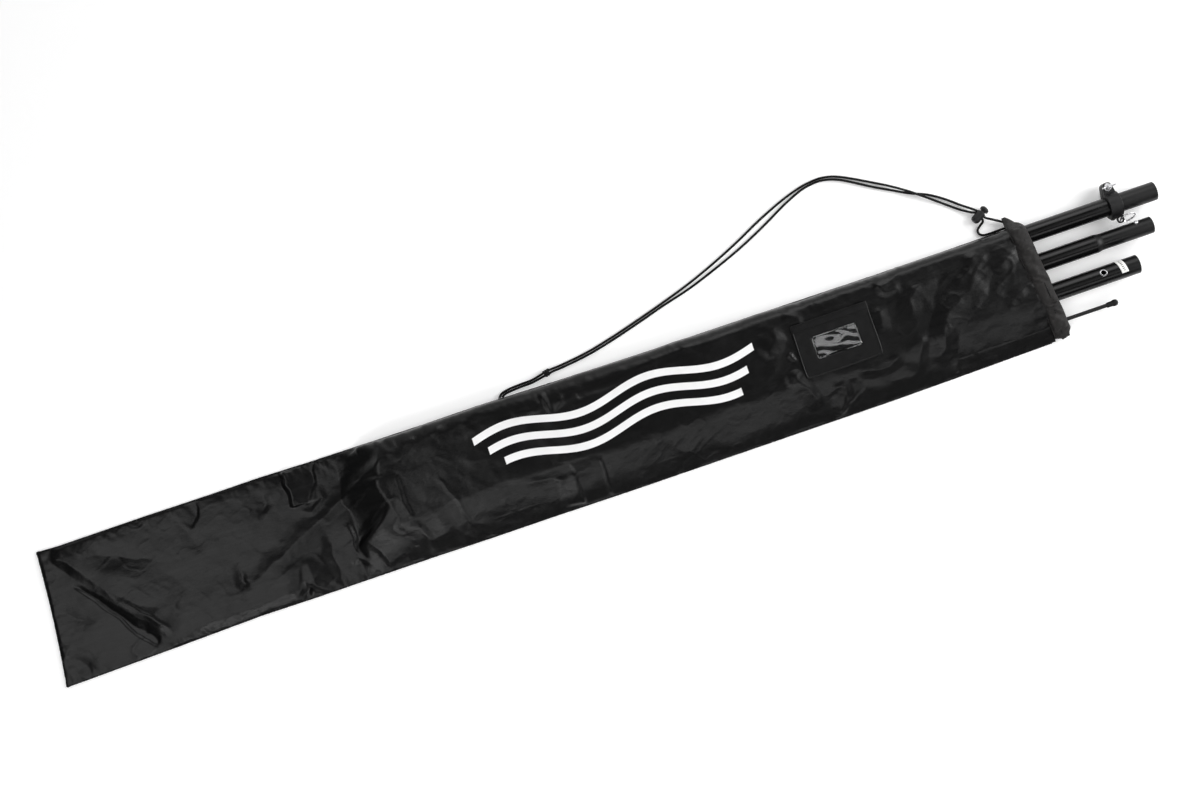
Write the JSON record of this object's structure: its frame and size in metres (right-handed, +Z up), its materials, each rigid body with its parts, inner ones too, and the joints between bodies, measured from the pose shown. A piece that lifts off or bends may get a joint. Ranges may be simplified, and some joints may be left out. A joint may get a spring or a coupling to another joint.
{
  "type": "banner pole set in carry bag",
  "caption": "Sectional banner pole set with tip rod in a drawstring nylon carry bag; the poles slide out of the open mouth and plug together.",
  "frame": {"origin": "on the ground under the middle of the bag and poles, the carry cord left out", "axes": "+X along the bag from its closed end to the poles' outer ends, +Y across it towards the carry cord, +Z up"},
  "size_m": [1.5696, 0.3153, 0.0355],
  "materials": {
    "bag_nylon": "satin plain-weave nylon",
    "hem_fabric": "matte woven binding",
    "pocket_vinyl": "soft grained vinyl",
    "clear_film": "clear soft film",
    "cord": "braided cord",
    "lock_plastic": "moulded satin plastic",
    "spring_steel": "drawn wire and strip",
    "pole_paint": "satin black over aluminium tube",
    "bright_steel": "polished",
    "clamp_plastic": "semi-gloss moulded",
    "label_paper": "blank printed-film label",
    "bush_plastic": "moulded",
    "rod_fibreglass": "pultruded rod",
    "cap_rubber": "matte",
    "ferrule_metal": "turned"
  },
  "bodies": {
    "bag": {"bag_front_panel": "bag_nylon", "bag_back_panel": "bag_nylon", "mouth_hem": "hem_fabric", "id_pocket_backing": "pocket_vinyl", "id_pocket_frame": "pocket_vinyl", "id_pocket_window": "clear_film", "strap_anchor_tab": "hem_fabric", "strap_knot": "cord", "drawcord_strand_a": "cord", "drawcord_strand_b": "cord", "drawcord_hem_run": "cord", "cord_lock_barrel": "lock_plastic", "cord_lock_spring": "spring_steel"},
    "lock_plunger": {"cord_lock_plunger": "lock_plastic"},
    "base_pole": {"base_pole_tube": "pole_paint", "base_button_spring": "spring_steel"},
    "base_button": {"base_snap_button": "bright_steel"},
    "clamp": {"clamp_band": "clamp_plastic", "clamp_bolt": "bright_steel", "clamp_washer": "bright_steel"},
    "wing_nut": {"clamp_wing_nut": "bright_steel"},
    "ring": {"tether_ring": "bright_steel"},
    "middle_pole": {"middle_pole_tube": "pole_paint", "middle_button_spring": "spring_steel"},
    "middle_button": {"middle_snap_button": "bright_steel"},
    "top_pole": {"top_pole_tube": "pole_paint", "top_pole_eyelet": "bright_steel", "top_pole_label": "label_paper", "rod_socket_bush": "bush_plastic"},
    "rod": {"tip_rod": "rod_fibreglass", "tip_rod_cap": "cap_rubber", "tip_rod_ferrule": "ferrule_metal"}
  },
  "joints": [
    {"name": "base_pole_slide", "type": "slide", "parent": "bag", "child": "base_pole", "axis": [1, 0, 0], "range_m": [0, 1]},
    {"name": "middle_pole_slide", "type": "slide", "parent": "bag", "child": "middle_pole", "axis": [1, 0, 0], "range_m": [0, 1]},
    {"name": "top_pole_slide", "type": "slide", "parent": "bag", "child": "top_pole", "axis": [1, 0, 0], "range_m": [0, 1]},
    {"name": "tip_rod_slide", "type": "slide", "parent": "bag", "child": "rod", "axis": [1, 0, 0], "range_m": [0, 1]},
    {"name": "base_button_press", "type": "slide", "parent": "base_pole", "child": "base_button", "axis": [0, 1, 0], "range_m": [0, 0.0034], "stiffness_N_per_m": 2500, "springref_m": -0.002, "deforming": ["base_button_spring"]},
    {"name": "middle_button_press", "type": "slide", "parent": "middle_pole", "child": "middle_button", "axis": [0, -0.788, -0.6157], "range_m": [0, 0.0034], "stiffness_N_per_m": 2500, "springref_m": -0.002, "deforming": ["middle_button_spring"]},
    {"name": "cord_lock_press", "type": "slide", "parent": "bag", "child": "lock_plunger", "axis": [-0.8746, -0.4848, 0], "range_m": [0, 0.003], "stiffness_N_per_m": 1200, "springref_m": -0.002, "deforming": ["cord_lock_spring"]},
    {"name": "clamp_slide", "type": "slide", "parent": "base_pole", "child": "clamp", "axis": [1, 0, 0], "range_m": [-0.075, 0.045]},
    {"name": "wing_nut_turn", "type": "hinge", "parent": "clamp", "child": "wing_nut", "pos_m": [0.72679, 0.0855, 0.0235], "axis": [0, 0, 1], "continuous": true},
    {"name": "tether_ring_swing", "type": "hinge", "parent": "clamp", "child": "ring", "pos_m": [0.73079, 0.0395, 0.0176], "axis": [0, 0, 1], "range_deg": [-12, 18]}
  ]
}
